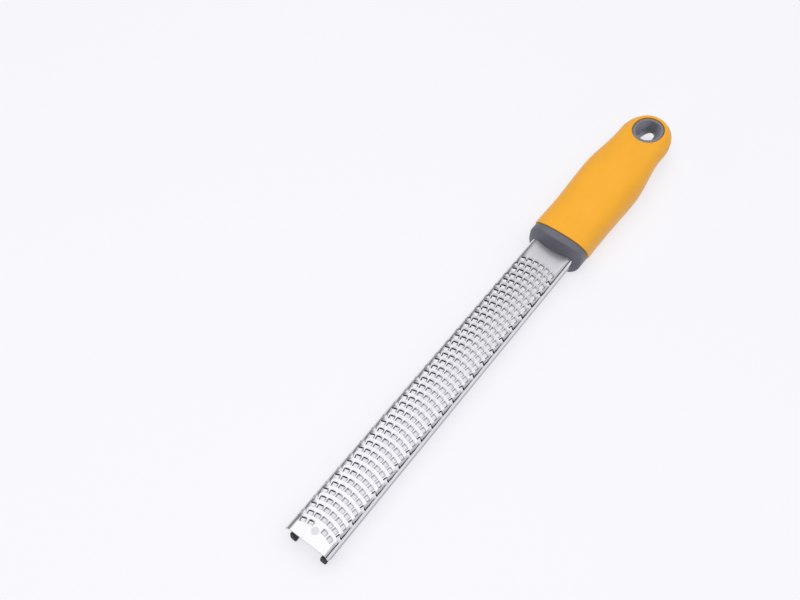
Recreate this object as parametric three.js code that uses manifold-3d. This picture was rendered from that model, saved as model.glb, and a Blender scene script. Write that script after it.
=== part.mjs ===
// A hand-held rasp grater: a folded, etched steel blade on two rubber feet, set in a two-shot handle.
// Millimetres. x runs across the blade, y from the tip to the handle's end, z up from the table.
import * as THREE from "three";
import { mergeVertices } from "three/addons/utils/BufferGeometryUtils.js";
import Module from "manifold-3d";

const wasm = await Module();
wasm.setup();

// Clearance between pieces that seat in or on each other
const fitGap = 0.3;

// Blade sheet: a flat face with a flange bent down along each long side
const sheetThickness = 0.5;
const faceHeight = 14;
const bladeHalfWidth = 12.5;
const bendRadius = 3;
const flangeDepth = 6.5;
const flangeCornerSetback = 2.2;
const bladeExposedLength = 208;
const seatStop = 1;
const tangLength = 52;
const tangHalfWidth = 7.5;
const tangHoleRadius = 2.5;
const tangHoleSpacing = 26;
const tipHoleRadius = 1.9;
const tipHoleSetback = 6.55;
const holeSides = 12;

// Teeth: bowed rows of arched holes, each with its handle-side edge lifted as a cutting lip
const firstRowSetback = 8.9;
const rowPitch = 4.42;
const rowBowRadius = 25;
const columnPitch = 3.75;
const toothBridge = 0.7;
const toothLength = 2.3;
const toothShoulder = 0.75;
const toothLift = 0.45;
const toothShoulderLift = 0.22;
const plainZoneLength = 12;
const tipRowSpacing = 4;
const patternMargin = 0.4;
const cellLean = 0.5;

// Feet: rubber blocks held inside the flanges at the tip
const footLength = 9;
const footSoleInset = 5.1;
const footSoleWidth = 3.1;
const footSoleRadius = 0.6;
const footNoseLength = 1.2;
const footNoseHeight = 8.6;
const footNoseShoulder = 4.3;
const footNoseInset = 1;
const footHeadWidth = 1.6;

// Collar: the exposed front of the handle's core
const collarLength = 5;
const collarSideWall = 4.2;
const collarTopRise = 9.4;
const collarNoseRadius = 2.4;
const collarDome = 1.4;
const collarFaceInset = 6.2;
const seamLean = 0.4;

// Grip: stations measured from the seam at its front or from its far end
const gripLength = 113.5;
const gripProud = 0.6;
const neckFromSeam = 22;
const neckHalfWidth = 17.2;
const neckTop = 23.4;
const swellFromSeam = 57;
const swellHalfWidth = 18.1;
const swellTop = 24.8;
const waistFromEnd = 28;
const waistHalfWidth = 15.3;
const waistTop = 22.8;
const bulgeFromEnd = 20.5;
const bulgeHalfWidth = 15.5;
const bulgeTop = 21.7;
const heelLift = 5;
const endCrownPower = 2;
const endSidePower = 2;
const gripStations = 15;
const endRingShares = [0, 0.3, 0.55, 0.75, 0.89, 0.97, 0.995];

// Handle cross-section: a superellipse, squarer above the middle, cut flat where it meets the table
const topPower = 2.5;
const bottomPower = 2.3;
const undersideSink = 2.5;
const sectionSides = 24;

// Core inside the grip, and the hanging eye that it lines
const gripWall = 4;
const spineInset = 2;
const spineStations = 8;
const eyeFromEnd = 16.5;
const eyeRimHalfWidth = 8.9;
const eyeRimHalfLength = 11.5;
const eyeLipWidth = 0.7;
const eyeSlotHalfWidth = 4;
const eyeSlotHalfLength = 8.4;
const eyeWaistHeight = 13.4;
const eyeWaistDepth = 5;
const eyeUnderHalfWidth = 5.2;
const eyeUnderHalfLength = 10.8;
const eyePower = 2.2;
const eyeSides = 24;

// Places along y that follow from the lengths above
const collarFront = bladeExposedLength - collarDome;
const seam = bladeExposedLength + collarLength;
const gripFront = seam + fitGap;
const handleEnd = seam + gripLength;
const eyeCentre = handleEnd - eyeFromEnd;
const channelEnd = seam - seatStop;
const tangEnd = channelEnd + tangLength;
const neck = seam + neckFromSeam;
const swell = seam + swellFromSeam;
const waist = handleEnd - waistFromEnd;
const bulge = handleEnd - bulgeFromEnd;

// The collar's outer size, and a height clear of the whole handle for cuts that run right through it
const collarHalfWidth = bladeHalfWidth + collarSideWall;
const collarTop = faceHeight + collarTopRise;
const clearHeight = 2 * swellTop;

// Places across the sheet, measured along its outer skin from the centreline
const flatHalfWidth = bladeHalfWidth - bendRadius;
const bendEnd = flatHalfWidth + (bendRadius * Math.PI) / 2;
const sheetEdge = bendEnd + flangeDepth - bendRadius;

// A point of the flat pattern, folded: s across the skin, y along it, rise out of it along its normal
function fold(s, y, rise) {
  const side = Math.sign(s);
  const reach = Math.abs(s);
  if (reach <= flatHalfWidth) return new THREE.Vector3(s, y, faceHeight + rise);
  if (reach <= bendEnd) {
    const turn = (reach - flatHalfWidth) / bendRadius;
    const radius = bendRadius + rise;
    const x = flatHalfWidth + radius * Math.sin(turn);
    return new THREE.Vector3(side * x, y, faceHeight - bendRadius + radius * Math.cos(turn));
  }
  return new THREE.Vector3(side * (bladeHalfWidth + rise), y, faceHeight - bendRadius - (reach - bendEnd));
}

// A point on a bowed row: turn is its angle round the bow's centre, across shifts it sideways
function onBow(rowY, turn, across) {
  const s = rowBowRadius * Math.sin(turn) + across;
  return new THREE.Vector3(s, rowY - rowBowRadius * (1 - Math.cos(turn)), 0);
}

// The flat pattern of the blade: panels with shared corners, each a list of points with s, y and rise
class SheetPattern {
  points = [];
  faces = [];
  known = new Map();

  index(point) {
    const key = `${point.x.toFixed(4)} ${point.y.toFixed(4)}`;
    if (!this.known.has(key)) this.known.set(key, this.points.push(point) - 1);
    return this.known.get(key);
  }

  panel(outline, holes = []) {
    const rings = [outline, ...holes].map((ring) => ring.map((p) => this.index(p)));
    const flat = rings.map((ring) => ring.map((i) => new THREE.Vector2(this.points[i].x, this.points[i].y)));
    if (THREE.ShapeUtils.area(flat[0]) < 0) {
      flat[0].reverse();
      rings[0].reverse();
    }
    const order = rings.flat();
    for (const face of THREE.ShapeUtils.triangulateShape(flat[0], flat.slice(1))) {
      this.faces.push(face.map((i) => order[i]));
    }
  }

  // Two skins one sheet apart, joined by a wall along every open edge of the pattern
  toGeometry() {
    const count = this.points.length;
    const skin = (depth) => this.points.map((p) => fold(p.x, p.y, p.z - depth));
    const position = [...skin(0), ...skin(sheetThickness)].flatMap((p) => p.toArray());
    const edges = new Set(this.faces.flatMap(([a, b, c]) => [`${a} ${b}`, `${b} ${c}`, `${c} ${a}`]));
    const index = this.faces.flatMap(([a, b, c]) => [a, b, c, c + count, b + count, a + count]);
    for (const edge of edges) {
      const [a, b] = edge.split(" ").map(Number);
      if (!edges.has(`${b} ${a}`)) index.push(b, a, a + count, b, a + count, b + count);
    }
    const geometry = new THREE.BufferGeometry();
    geometry.setAttribute("position", new THREE.Float32BufferAttribute(position, 3));
    return geometry.setIndex(index);
  }
}

// A ring of points round a centre on the flat pattern
function roundHole(s, y, radius) {
  return Array.from({ length: holeSides }, (_, i) => {
    const angle = (-2 * Math.PI * i) / holeSides;
    return new THREE.Vector3(s + radius * Math.cos(angle), y + radius * Math.sin(angle), 0);
  });
}

// One tooth: straight towards the tip, arched and lifted towards the handle, turned with its row's bow
function toothHole(rowY, turn) {
  const half = (columnPitch - toothBridge) / 2;
  const near = -toothLength / 2;
  const far = toothLength / 2;
  const shoulder = far - toothShoulder;
  const outline = [
    [-half, near, 0], [-half, shoulder, toothShoulderLift], [0, far, toothLift],
    [half, shoulder, toothShoulderLift], [half, near, 0],
  ];
  const place = onBow(rowY, turn, 0);
  return outline.map(([u, v, lift]) => new THREE.Vector3(
    place.x + u * Math.cos(turn) + v * Math.sin(turn),
    place.y - u * Math.sin(turn) + v * Math.cos(turn),
    lift,
  ));
}

// The blade: rows of tooth cells between bowed lines, plain steel at both ends, flanges and a tang
function bladeGeometry() {
  const pattern = new SheetPattern();
  const halfStep = columnPitch / 2 / rowBowRadius;
  const lean = (cellLean * rowPitch) / 2;
  const reachOf = (i) => (rowBowRadius + lean) * Math.sin(i * halfStep);
  let last = 1;
  while (reachOf(last + 2) < bendEnd - patternMargin) last += 2;
  const rowsLength = bladeExposedLength - firstRowSetback - plainZoneLength;
  const rows = Math.floor(rowsLength / rowPitch) + 1;
  const rowY = (row) => firstRowSetback + (row - 1) * rowPitch;

  // A line between two rows: each of its points is a cell corner of only one of them, and leans with it
  const linePoint = (line, i) => {
    const ofRowBefore = (line + i) % 2 !== 0;
    const across = Math.sin(i * halfStep) * (ofRowBefore ? lean : -lean);
    return onBow(rowY(line) + rowPitch / 2, i * halfStep, across);
  };
  const stretch = (line, from, to) => {
    const step = Math.sign(to - from);
    return Array.from({ length: Math.abs(to - from) + 1 }, (_, k) => linePoint(line, from + step * k));
  };

  // The solid strip between the pattern's last cell corner and the flange's lower edge
  const sideStrip = (first, second, side, setback = 0) => {
    const atBend = [first, second].map((run) => new THREE.Vector3(side * bendEnd, run.at(-1).y, 0));
    const atEdge = atBend.map((point) => new THREE.Vector3(side * sheetEdge, point.y, 0));
    atEdge[1].y += setback;
    pattern.panel([...first, ...atBend, ...second.toReversed()]);
    pattern.panel([...atBend, ...atEdge.toReversed()]);
  };

  for (let row = 2; row <= rows; row++) {
    const outer = row % 2 === 0 ? last : last - 1;
    for (let i = 1 - outer; i < outer; i += 2) {
      const cell = [...stretch(row - 1, i - 1, i + 1), ...stretch(row, i + 1, i - 1)];
      pattern.panel(cell, [toothHole(rowY(row), i * halfStep)]);
    }
    for (const side of [-1, 1]) {
      const run = (line) => stretch(line, side * (outer - 1), side * last).slice(1);
      sideStrip(run(row - 1), run(row), side);
    }
  }

  // Plain steel at a straight end: a middle panel between the two last columns, then the side strips
  const plainEnd = (line, y, middle, holes, setback = 0) => {
    const inner = last - 1;
    const corner = (i) => new THREE.Vector3(linePoint(line, i).x, y, 0);
    const straight = [corner(inner), ...middle, corner(-inner)];
    pattern.panel([...stretch(line, -inner, inner), ...straight], holes);
    for (const side of [-1, 1]) {
      const bowed = stretch(line, side * inner, side * last);
      sideStrip(bowed, [corner(side * inner), corner(side * last)], side, setback);
    }
  };
  const tipTeeth = [-2, -1, 1, 2].map((n) => toothHole(rowY(1), (n * tipRowSpacing) / rowBowRadius));
  const tipHoles = [roundHole(0, tipHoleSetback, tipHoleRadius), ...tipTeeth];
  plainEnd(1, 0, [], tipHoles, flangeCornerSetback);
  const tangRoot = [tangHalfWidth, -tangHalfWidth].map((s) => new THREE.Vector3(s, channelEnd, 0));
  plainEnd(rows, channelEnd, tangRoot, []);

  const tangTip = [-tangHalfWidth, tangHalfWidth].map((s) => new THREE.Vector3(s, tangEnd, 0));
  const tangMiddle = (channelEnd + tangEnd) / 2;
  const tangHoles = [-0.5, 0.5].map((n) => roundHole(0, tangMiddle + n * tangHoleSpacing, tangHoleRadius));
  pattern.panel([...tangRoot, ...tangTip], tangHoles);
  return pattern.toGeometry();
}

// A closed solid through rings of equal length, with a flat fan at each end
function loftGeometry(rings) {
  const sides = rings[0].length;
  const centre = (ring) => ring.reduce((sum, p) => sum.add(p), new THREE.Vector3()).divideScalar(sides);
  const points = [...rings.flat(), centre(rings[0]), centre(rings.at(-1))];
  const index = [];
  const lastRing = (rings.length - 1) * sides;
  for (let side = 0; side < sides; side++) {
    const next = (side + 1) % sides;
    for (let base = 0; base < lastRing; base += sides) {
      index.push(base + side, base + next, base + sides + next);
      index.push(base + side, base + sides + next, base + sides + side);
    }
    index.push(points.length - 2, next, side);
    index.push(points.length - 1, lastRing + side, lastRing + next);
  }
  const geometry = new THREE.BufferGeometry();
  geometry.setAttribute("position", new THREE.Float32BufferAttribute(points.flatMap((p) => p.toArray()), 3));
  return geometry.setIndex(index);
}

// A superellipse coordinate: the signed power of a cosine or sine
const bulged = (wave, power) => Math.sign(wave) * Math.abs(wave) ** (2 / power);

// One cross-section of the handle, seen from the tip, cut off flat at its sole
function handleSection(y, halfWidth, top, bottom, sole = 0) {
  const middle = (top + bottom) / 2;
  const halfHeight = (top - bottom) / 2;
  return Array.from({ length: sectionSides }, (_, i) => {
    const angle = (-2 * Math.PI * i) / sectionSides;
    const power = Math.sin(angle) > 0 ? topPower : bottomPower;
    const x = halfWidth * bulged(Math.cos(angle), power);
    return new THREE.Vector3(x, y, Math.max(sole, middle + halfHeight * bulged(Math.sin(angle), power)));
  });
}

// A section sheared so that its top stays at y and its sole lies further back
function leaningSection(y, lean, halfWidth, top, bottom, sole) {
  const ring = handleSection(y, halfWidth, top, bottom, sole);
  for (const point of ring) point.y += lean * (collarTop - point.z);
  return ring;
}

// A smooth curve through [y, value] stations, level at both ends and at every crest and dip
function throughStations(stations, y) {
  const after = Math.max(1, stations.findIndex(([place]) => place >= y));
  const [startY, start] = stations[after - 1];
  const [endY, end] = stations[after];
  return THREE.MathUtils.lerp(start, end, THREE.MathUtils.smoothstep(y, startY, endY));
}

// The grip's half-width, top and underside at y, drawn in by inset on every side
function gripShape(y, inset) {
  const along = Math.max(0, (y - bulge) / bulgeFromEnd);
  const crown = (1 - along ** endCrownPower) ** (1 / endCrownPower);
  const flank = (1 - along ** endSidePower) ** (1 / endSidePower);
  const width = throughStations([
    [seam, collarHalfWidth + gripProud], [neck, neckHalfWidth], [swell, swellHalfWidth],
    [waist, waistHalfWidth], [bulge, bulgeHalfWidth], [handleEnd, bulgeHalfWidth],
  ], y);
  const top = throughStations([
    [seam, collarTop + gripProud], [neck, neckTop], [swell, swellTop],
    [waist, waistTop], [bulge, bulgeTop], [handleEnd, bulgeTop],
  ], y);
  const bottom = throughStations([
    [seam, -undersideSink], [swell, -undersideSink], [waist, heelLift], [handleEnd, heelLift],
  ], y);
  const middle = (top + bottom) / 2;
  const halfHeight = ((top - bottom) / 2) * flank;
  return [width * crown - inset, middle + halfHeight - inset, middle - halfHeight + inset, inset];
}

// The grip's outer form: even stations to the bulge, then closer and closer ones round the end
function gripGeometry() {
  const step = (bulge - gripFront) / gripStations;
  const body = Array.from({ length: gripStations }, (_, i) => gripFront + i * step);
  const crown = endRingShares.map((share) => bulge + share * bulgeFromEnd);
  return loftGeometry([...body, ...crown].map((y) => {
    const lean = seamLean * (1 - THREE.MathUtils.smoothstep(y, seam, neck));
    return leaningSection(y, lean, ...gripShape(y, 0));
  }));
}

// The core's spine: the grip's form drawn in by the grip's wall, from inside the collar to the eye
function spineGeometry(inset) {
  const front = seam - spineInset;
  const step = (eyeCentre - front) / spineStations;
  const places = Array.from({ length: spineStations + 1 }, (_, i) => front + i * step);
  return loftGeometry(places.map((y) => handleSection(y, ...gripShape(Math.max(y, seam), inset))));
}

// The collar: a shallow dome in front, a rounded nose, then straight back to the seam
function collarGeometry() {
  const steps = [0, 0.25, 0.5, 0.75, 1].map((share) => (share * Math.PI) / 2);
  const rounded = steps.map((turn) => {
    const drawIn = collarNoseRadius * (1 - Math.sin(turn));
    return [bladeExposedLength + collarNoseRadius * (1 - Math.cos(turn)), drawIn];
  });
  const domed = [collarFront, collarFaceInset];
  const rings = [domed, ...rounded].map(([y, drawIn]) => {
    return handleSection(y, collarHalfWidth - drawIn, collarTop - drawIn, drawIn - undersideSink);
  });
  const back = leaningSection(seam, seamLean, collarHalfWidth, collarTop, -undersideSink, 0);
  return loftGeometry([...rings, back]);
}

// A solid along y with the given outline of [x, z] points
function prismGeometry(outline, front, back) {
  const shape = new THREE.Shape(outline.map(([x, z]) => new THREE.Vector2(x, z)));
  const geometry = new THREE.ExtrudeGeometry(shape, { depth: back - front, bevelEnabled: false });
  return geometry.rotateX(Math.PI / 2).translate(0, back, 0);
}

// An upright solid through oval rings, each given as [z, half width, half length]
function ovalGeometry(levels) {
  return loftGeometry(levels.map(([z, halfWidth, halfLength]) => {
    return Array.from({ length: eyeSides }, (_, i) => {
      const angle = (2 * Math.PI * i) / eyeSides;
      const x = halfWidth * bulged(Math.cos(angle), eyePower);
      return new THREE.Vector3(x, eyeCentre + halfLength * bulged(Math.sin(angle), eyePower), z);
    });
  }));
}

// A closed geometry as a solid for joining and cutting, and back
function solid(geometry) {
  const bare = geometry.clone();
  for (const name of Object.keys(bare.attributes)) {
    if (name !== "position") bare.deleteAttribute(name);
  }
  const merged = mergeVertices(bare, 1e-4);
  return new wasm.Manifold(new wasm.Mesh({
    numProp: 3,
    vertProperties: new Float32Array(merged.attributes.position.array),
    triVerts: new Uint32Array(merged.index.array),
  }));
}

function fromSolid(body) {
  const mesh = body.getMesh();
  const geometry = new THREE.BufferGeometry();
  geometry.setAttribute("position", new THREE.BufferAttribute(mesh.vertProperties, 3));
  return geometry.setIndex(new THREE.BufferAttribute(mesh.triVerts, 1));
}

// The blade's seat in the core: a slot round the folded section, and a flat slot for the tang
function seatSolid() {
  const edge = sheetEdge + fitGap;
  const bendSteps = [0, 1 / 3, 2 / 3, 1].map((share) => flatHalfWidth + share * (bendEnd - flatHalfWidth));
  const across = [...bendSteps, edge];
  const skin = [...across.map((s) => -s).reverse(), ...across];
  const outer = skin.map((s) => fold(s, 0, fitGap));
  const inner = skin.map((s) => fold(s, 0, -sheetThickness - fitGap)).reverse();
  const outline = [...outer, ...inner].map((p) => [p.x, p.z]);
  const channel = prismGeometry(outline, collarFront - fitGap, channelEnd + fitGap);
  const slotHeight = sheetThickness + 2 * fitGap;
  const tangSlot = new THREE.BoxGeometry(2 * (tangHalfWidth + fitGap), tangLength + 2 * fitGap, slotHeight);
  tangSlot.translate(0, (channelEnd + tangEnd) / 2, faceHeight - sheetThickness / 2);
  return solid(channel).add(solid(tangSlot));
}

// The eye's lining before it is bored, grown by clearance for the hole that it sits in
function liningSolid(clearance) {
  const halfWidth = eyeRimHalfWidth + clearance;
  const halfLength = eyeRimHalfLength + clearance;
  return solid(ovalGeometry([[-clearHeight, halfWidth, halfLength], [clearHeight, halfWidth, halfLength]]));
}

// The eye's bore: wide at both faces, drawn in to a slot at mid height
function boreSolid() {
  const rim = [eyeRimHalfWidth - eyeLipWidth, eyeRimHalfLength - eyeLipWidth];
  const slot = [eyeSlotHalfWidth, eyeSlotHalfLength];
  const slotTop = eyeWaistHeight + eyeWaistDepth / 2;
  const slotBottom = eyeWaistHeight - eyeWaistDepth / 2;
  const under = [eyeUnderHalfWidth, eyeUnderHalfLength];
  return solid(ovalGeometry([
    [-clearHeight, ...under], [heelLift, ...under], [slotBottom, ...slot],
    [slotTop, ...slot], [bulgeTop, ...rim], [clearHeight, ...rim],
  ]));
}

const gripForm = solid(gripGeometry());

function coreGeometry() {
  const lining = liningSolid(0).intersect(gripForm);
  const body = solid(collarGeometry()).add(solid(spineGeometry(gripWall))).add(lining);
  return fromSolid(body.subtract(boreSolid()).subtract(seatSolid()));
}

function gripSleeveGeometry() {
  return fromSolid(gripForm.subtract(solid(spineGeometry(gripWall - fitGap))).subtract(liningSolid(fitGap)));
}

// A foot: a pointed rubber nose at the tip, thickening behind it to a head that bears on the flange
function footGeometry(side) {
  const headOuter = bladeHalfWidth - sheetThickness - fitGap;
  const headInner = headOuter - footHeadWidth;
  const headTop = faceHeight - bendRadius;
  const headBottom = faceHeight - flangeDepth;
  const soleInner = bladeHalfWidth - footSoleInset;
  const soleOuter = soleInner + footSoleWidth;
  const apex = soleOuter - footNoseInset;
  const sole = [
    [soleInner, footSoleRadius], [soleInner + footSoleRadius, 0],
    [soleOuter - footSoleRadius, 0], [soleOuter, footSoleRadius],
  ];
  const nose = [
    [soleOuter, footNoseShoulder], [apex + footSoleRadius, footNoseHeight], [apex, footNoseHeight],
  ];
  const head = [[headOuter, headBottom], [headOuter, headTop], [headInner, headTop]];
  const ring = (y, upper) => [...sole, ...upper].map(([x, z]) => new THREE.Vector3(x, y, z)).reverse();
  const rings = [
    ring(0, nose), ring(footNoseLength, nose), ring(2 * footNoseLength, head), ring(footLength, head),
  ];
  if (side > 0) return loftGeometry(rings);
  return loftGeometry(rings.map((points) => points.map((p) => new THREE.Vector3(-p.x, p.y, p.z)).reverse()));
}

const steel = new THREE.MeshStandardMaterial({ color: 0xc8cacd, roughness: 0.3, metalness: 1 });
const rubber = new THREE.MeshStandardMaterial({ color: 0x2b2a2f, roughness: 0.8, metalness: 0 });
const slatePlastic = new THREE.MeshStandardMaterial({ color: 0x65666f, roughness: 0.5, metalness: 0 });
const softGrip = new THREE.MeshStandardMaterial({ color: 0xf2a63a, roughness: 0.7, metalness: 0 });

function piece(name, geometry, material) {
  const mesh = new THREE.Mesh(geometry, material);
  mesh.name = name;
  return mesh;
}

const grater = new THREE.Group();
grater.add(
  piece("blade", bladeGeometry(), steel),
  piece("left_tip_foot", footGeometry(-1), rubber),
  piece("right_tip_foot", footGeometry(1), rubber),
  piece("handle_core", coreGeometry(), slatePlastic),
  piece("grip", gripSleeveGeometry(), softGrip),
);

// The origin lies on the table under the middle of the whole length
grater.position.y = -handleEnd / 2;

export default grater;
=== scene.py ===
"""A hand-held rasp grater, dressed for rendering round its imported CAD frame.

Sizes are in millimetres, and y runs from the blade's tip to the handle's end. Meshes are written in metres,
in the frame's own place.
"""

from __future__ import annotations

import logging
from dataclasses import dataclass, field
from enum import Enum

import bpy
import numpy as np
from mathutils import Matrix, Vector
from mathutils.geometry import delaunay_2d_cdt


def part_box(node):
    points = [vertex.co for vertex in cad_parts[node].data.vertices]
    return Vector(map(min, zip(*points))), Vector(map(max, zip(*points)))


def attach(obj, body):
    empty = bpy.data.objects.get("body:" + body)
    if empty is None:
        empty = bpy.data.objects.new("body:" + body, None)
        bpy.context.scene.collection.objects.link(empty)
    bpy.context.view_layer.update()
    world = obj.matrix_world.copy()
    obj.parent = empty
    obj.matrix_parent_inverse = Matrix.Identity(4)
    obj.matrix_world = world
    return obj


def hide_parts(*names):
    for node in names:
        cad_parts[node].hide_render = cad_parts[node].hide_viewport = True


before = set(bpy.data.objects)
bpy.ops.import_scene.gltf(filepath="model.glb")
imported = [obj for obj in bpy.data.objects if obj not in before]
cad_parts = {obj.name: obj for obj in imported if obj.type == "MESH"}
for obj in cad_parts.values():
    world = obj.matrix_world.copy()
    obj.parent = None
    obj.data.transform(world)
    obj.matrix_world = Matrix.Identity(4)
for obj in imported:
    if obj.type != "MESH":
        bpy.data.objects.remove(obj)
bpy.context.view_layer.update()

Array = np.ndarray
Colour = tuple[float, float, float]
Place = tuple[float, float, float]
Pairs = tuple[tuple[float, float], ...]
Socket = bpy.types.NodeSocket
Inputs = dict[str | int, object]
MM = 0.001
TINY = 1e-9
NOISE_SPAN = (0.3, 0.7)
BODY = "root"
LOG = logging.getLogger("grater")


class Side(Enum):
    """The two sides of the blade, as the sign of x."""

    LEFT = -1
    RIGHT = 1


class Face(Enum):
    """The upper and lower skin of the handle, as the sign of z from its widest line."""

    TOP = 1
    UNDER = -1


@dataclass
class Surface:
    """Points in millimetres, with the quads and triangles between them.

    Attributes:
        points: one row of x, y, z a point.
        quads: one row of four point numbers a face.
        triangles: one row of three point numbers a face.
    """

    points: Array
    quads: Array
    triangles: Array = field(default_factory=lambda: np.zeros((0, 3), int))

    @classmethod
    def grid(cls, points: Array, ring: bool = False, loop: bool = False) -> Surface:
        """Joins neighbouring points of one or more grids.

        Args:
            points: an array of rows by columns by coordinates, or a stack of such grids.
            ring: whether each row's last point joins its first.
            loop: whether the last row joins the first.

        Returns:
            The surface of all the grids.
        """
        rows, columns, width = points.shape[-3:]
        index = np.arange(points.size // width).reshape(-1, rows, columns)
        if ring:
            index = np.concatenate([index, index[:, :, :1]], 2)
        if loop:
            index = np.concatenate([index, index[:, :1]], 1)
        near, far = index[:, :-1], index[:, 1:]
        quads = np.stack([near[..., :-1], near[..., 1:], far[..., 1:], far[..., :-1]], -1)
        return cls(points.reshape(-1, width), quads.reshape(-1, 4))

    @classmethod
    def tube(cls, points: Array) -> Surface:
        """Joins rows of points into rings, closes both ends with fans and turns the faces outwards."""
        rows, columns = points.shape[:2]
        first = np.arange(columns)
        skin = cls.grid(points, ring=True)
        return skin.with_fan(first[::-1]).with_fan(first + (rows - 1) * columns).outward()

    @classmethod
    def joined(cls, parts: list[Surface]) -> Surface:
        """Puts surfaces into one, without merging their points."""
        starts = np.cumsum([0] + [len(part.points) for part in parts[:-1]])
        return cls(
            np.concatenate([part.points for part in parts]),
            np.concatenate([part.quads + start for part, start in zip(parts, starts)]),
            np.concatenate([part.triangles + start for part, start in zip(parts, starts)]),
        )

    def with_fan(self, rim: Array) -> Surface:
        """Closes a ring, given in the order that makes it face outwards, with triangles to its middle."""
        middle = self.points[rim].mean(0, keepdims=True)
        hub = np.full(len(rim), len(self.points))
        fan = np.stack([rim, np.roll(rim, -1), hub], -1)
        triangles = np.concatenate([self.triangles, fan])
        return Surface(np.concatenate([self.points, middle]), self.quads, triangles)

    def welded(self, grain: float = 1e-4) -> Surface:
        """Merges points that lie at the same place, to within a grain in millimetres."""
        keys = np.round(self.points / grain).astype(np.int64)
        _, first, place = np.unique(keys, axis=0, return_index=True, return_inverse=True)
        place = place.reshape(-1)
        return Surface(self.points[first], place[self.quads], place[self.triangles])

    def without_quads(self, dropped: Array) -> Surface:
        """Leaves out the quads that are marked true, and every point that nothing then uses."""
        quads = self.quads[~dropped]
        corners = np.concatenate([quads.ravel(), self.triangles.ravel()])
        used, place = np.unique(corners, return_inverse=True)
        place = place.reshape(-1)
        return Surface(
            self.points[used],
            place[: quads.size].reshape(-1, 4),
            place[quads.size :].reshape(-1, 3),
        )

    def corners(self) -> Array:
        """Every face as triangles, with its quads cut along one diagonal."""
        return np.concatenate([self.quads[:, :3], self.quads[:, [0, 2, 3]], self.triangles])

    def outward(self) -> Surface:
        """Turns every face round if the volume that the faces enclose comes out negative."""
        a, b, c = np.moveaxis(self.points[self.corners()], 1, 0)
        if np.einsum("ij,ij->", a, np.cross(b, c)) >= 0:
            return self
        return Surface(self.points, self.quads[:, ::-1], self.triangles[:, ::-1])

    def to_object(self, name: str, sharp_angle: float) -> bpy.types.Object:
        """Writes the surface as a Blender object in the frame's place, shaded smooth between sharp edges.

        Args:
            name: the object's name.
            sharp_angle: the angle in degrees from which an edge is sharp.

        Returns:
            The object.
        """
        tip = np.array(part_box("blade")[0])
        place = (self.points * MM + [0.0, tip[1], 0.0]).tolist()
        mesh = bpy.data.meshes.new(name)
        mesh.from_pydata(place, [], self.quads.tolist() + self.triangles.tolist())
        mesh.shade_smooth()
        mesh.set_sharp_from_angle(angle=np.radians(sharp_angle))
        mesh.update()
        made = bpy.data.objects.new(name, mesh)
        bpy.context.scene.collection.objects.link(made)
        return made


def eased(share: Array) -> Array:
    """A share from 0 to 1 that starts and ends level: three squares less two cubes."""
    held = np.clip(share, 0.0, 1.0)
    return held * held * (3.0 - 2.0 * held)


def bulged(wave: Array, power: float | Array) -> Array:
    """A superellipse coordinate: the signed power of a cosine or sine."""
    return np.sign(wave) * np.abs(wave) ** (2.0 / power)


def full_turn(count: int) -> Array:
    """Angles in radians at equal steps once round."""
    return np.arange(count) * 2 * np.pi / count


def blend_shares(steps: int) -> Array:
    """Equal steps from 0 to 1, one a row of points."""
    return np.linspace(0.0, 1.0, steps + 1)[:, None, None]


def rounded_edge(radius: float, steps: int) -> tuple[Array, Array]:
    """A quarter circle at equal angles, as the way along from its start and the inset that is left."""
    turn = np.linspace(0.0, np.pi / 2, steps + 1)
    return radius * (1 - np.cos(turn)), radius * (1 - np.sin(turn))


def finer(points: Array, steps: int) -> Array:
    """Splits each straight stretch of lines of points into equal steps."""
    share = np.arange(steps)[:, None] / steps
    start, stop = points[..., :-1, None, :], points[..., 1:, None, :]
    inner = (start + share * (stop - start)).reshape(*points.shape[:-2], -1, points.shape[-1])
    return np.concatenate([inner, points[..., -1:, :]], -2)


def through_stations(stations: list[tuple[float, float]], y: Array) -> Array:
    """A smooth curve through stations, level at each of them.

    Args:
        stations: pairs of place and value, in order of place.
        y: the places to read.

    Returns:
        The values at those places.
    """
    places, values = np.array(stations).T
    after = np.clip(np.searchsorted(places, y), 1, len(places) - 1)
    before = after - 1
    share = eased((y - places[before]) / (places[after] - places[before]))
    return values[before] + share * (values[after] - values[before])


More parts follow.
